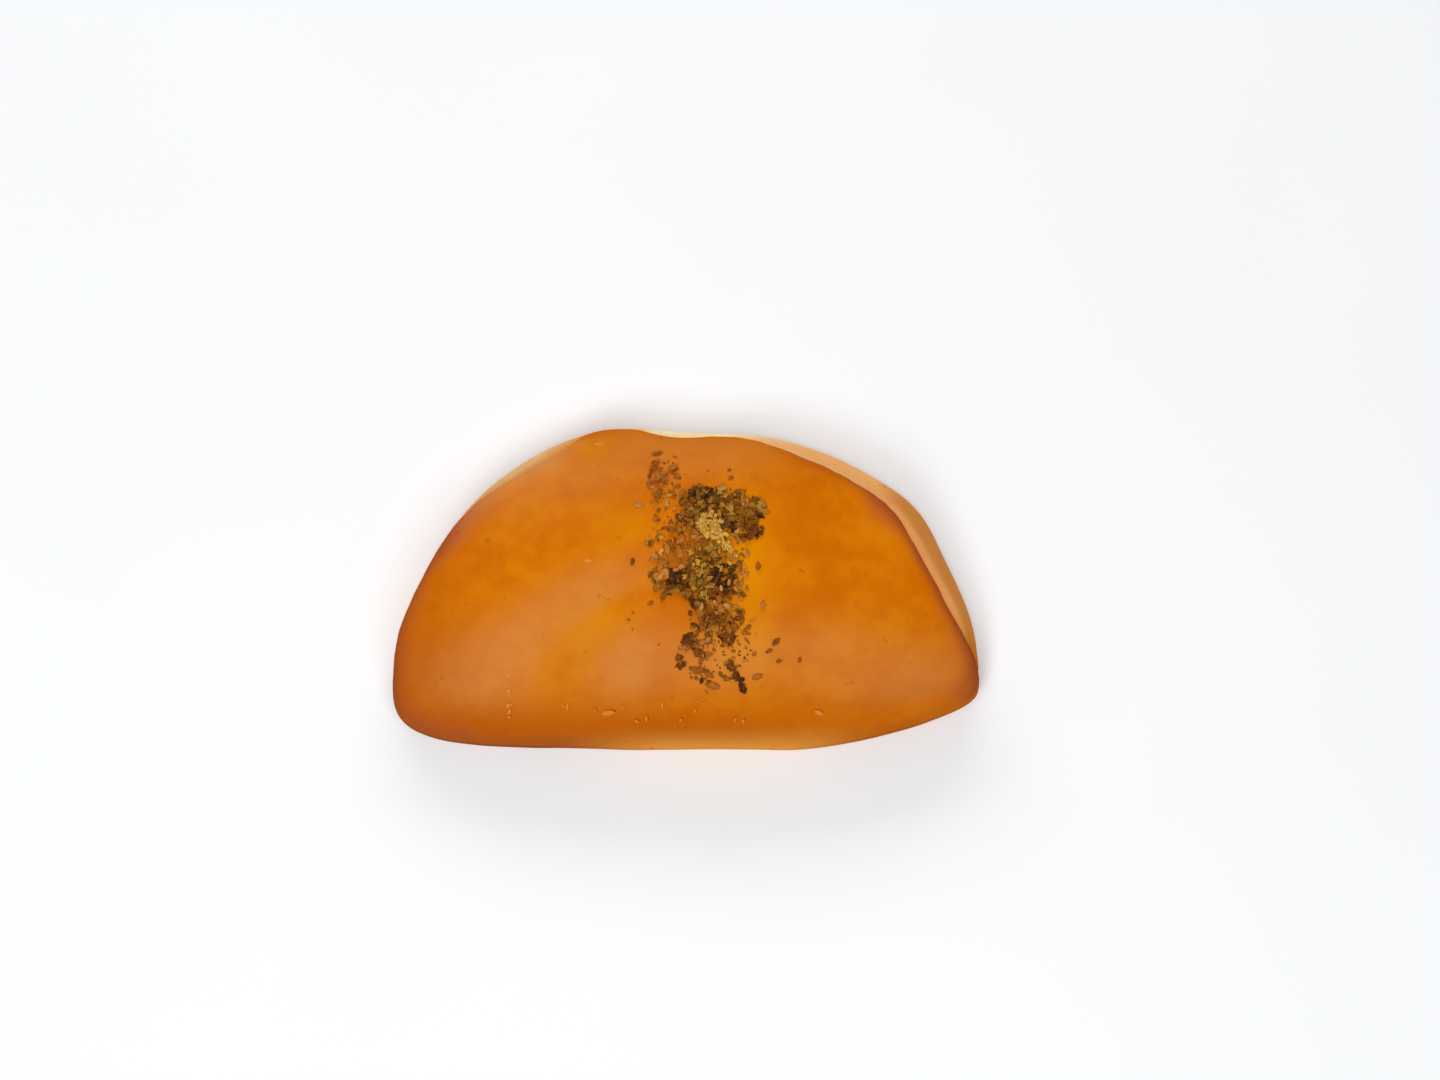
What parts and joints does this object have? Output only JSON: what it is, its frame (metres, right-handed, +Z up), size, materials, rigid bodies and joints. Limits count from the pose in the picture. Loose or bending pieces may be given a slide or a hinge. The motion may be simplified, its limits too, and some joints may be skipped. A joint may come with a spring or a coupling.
{
  "type": "thyme pastry",
  "caption": "Half-moon pastry of soft folded dough with a browned crust, a rounded fold in front, an open seam round the back and a scatter of dried thyme on top.",
  "frame": {"origin": "middle of the pastry's box, on the flat base it rests on", "axes": "+X along the straight fold to the right as seen from the front, +Y from the fold in front towards the open seam at the back, +Z up"},
  "size_m": [0.1401, 0.0801, 0.0297],
  "materials": {
    "crust": null,
    "thyme": null
  },
  "bodies": {
    "root": {"pastry": "crust"}
  },
  "joints": []
}
